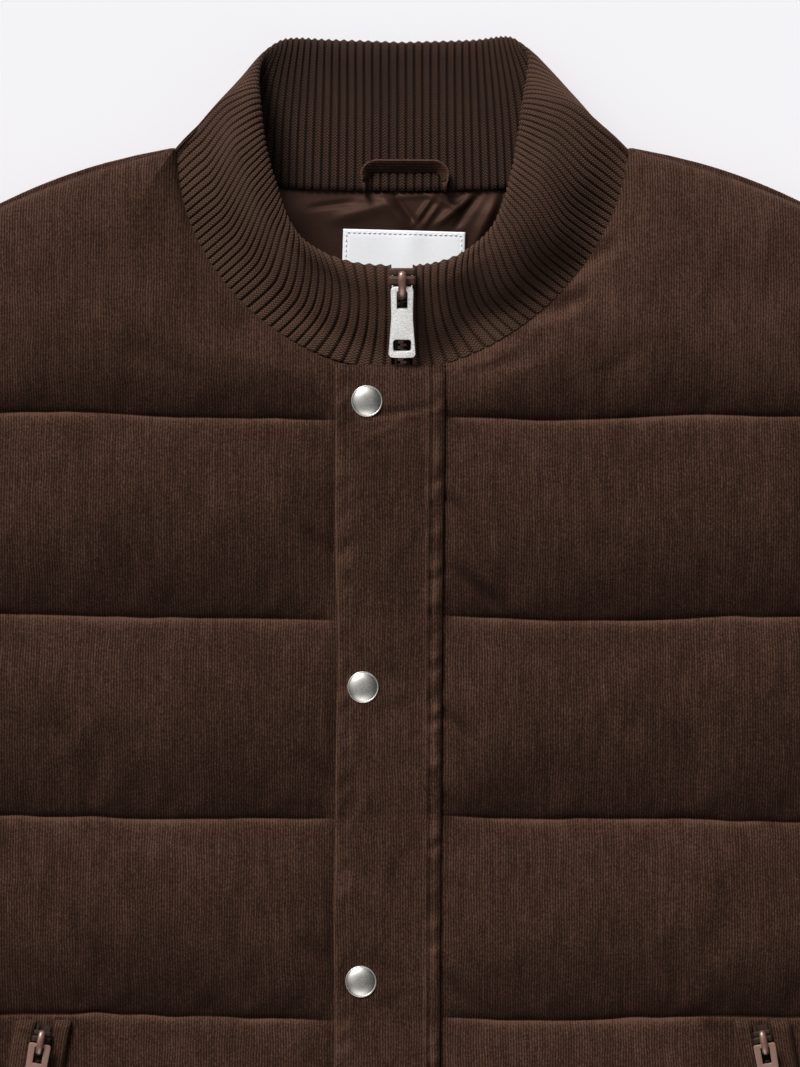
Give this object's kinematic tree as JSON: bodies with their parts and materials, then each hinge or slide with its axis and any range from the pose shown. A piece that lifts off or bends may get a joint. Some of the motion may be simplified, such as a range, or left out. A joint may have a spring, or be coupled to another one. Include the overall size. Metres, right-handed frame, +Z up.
{
  "type": "padded gilet",
  "caption": "Dark brown quilted corduroy gilet with a rib-knit stand collar, a zip under a snapped placket and slanted zip pockets, laid flat.",
  "frame": {"origin": "under the middle of the garment's outline, on the surface that it lies on", "axes": "+Y along the garment from the hem to the collar, +Z up out of its front, +X to the wearer's left"},
  "size_m": [0.5584, 0.7462, 0.0413],
  "materials": {
    "corduroy": "fine-wale cotton corduroy, matt with a soft nap",
    "rib_knit": "rib knit, matt",
    "lining_satin": "satin lining, soft sheen",
    "label_satin": "white woven satin, blank",
    "snap_nickel": "nickel, satin",
    "pull_silver": "silver, fine grain with bright edges",
    "slider_brown": "brown enamel, satin",
    "pocket_pull_brown": "brown enamel, matt",
    "zip_brown": "brown tape with moulded teeth"
  },
  "bodies": {
    "garment": {"front_left": "corduroy", "front_right": "corduroy", "back": "corduroy", "placket": "corduroy", "hanger_loop": "corduroy", "collar": "rib_knit", "lining": "lining_satin", "label": "label_satin", "zip": "zip_brown", "zip_slider": "slider_brown", "snap_1": "snap_nickel", "snap_2": "snap_nickel", "snap_3": "snap_nickel", "snap_4": "snap_nickel", "snap_5": "snap_nickel", "pocket_left_welt_inner": "corduroy", "pocket_left_welt_outer": "corduroy", "pocket_left_zip": "zip_brown", "pocket_left_slider": "slider_brown", "pocket_right_welt_inner": "corduroy", "pocket_right_welt_outer": "corduroy", "pocket_right_zip": "zip_brown", "pocket_right_slider": "slider_brown"},
    "main_pull": {"zip_pull": "pull_silver"},
    "left_pocket_pull": {"pocket_left_pull": "pocket_pull_brown"},
    "right_pocket_pull": {"pocket_right_pull": "pocket_pull_brown"}
  },
  "joints": [
    {"name": "main_pull_hinge", "type": "hinge", "parent": "garment", "child": "main_pull", "pos_m": [0, 0.25212, 0.0385], "axis": [-1, 0, 0], "range_deg": [0, 180]},
    {"name": "left_pocket_pull_hinge", "type": "hinge", "parent": "garment", "child": "left_pocket_pull", "pos_m": [0.16958, -0.10165, 0.02908], "axis": [-0.985, -0.1724, 0], "range_deg": [0, 170]},
    {"name": "right_pocket_pull_hinge", "type": "hinge", "parent": "garment", "child": "right_pocket_pull", "pos_m": [-0.16958, -0.10165, 0.02908], "axis": [-0.985, 0.1724, 0], "range_deg": [0, 170]}
  ]
}
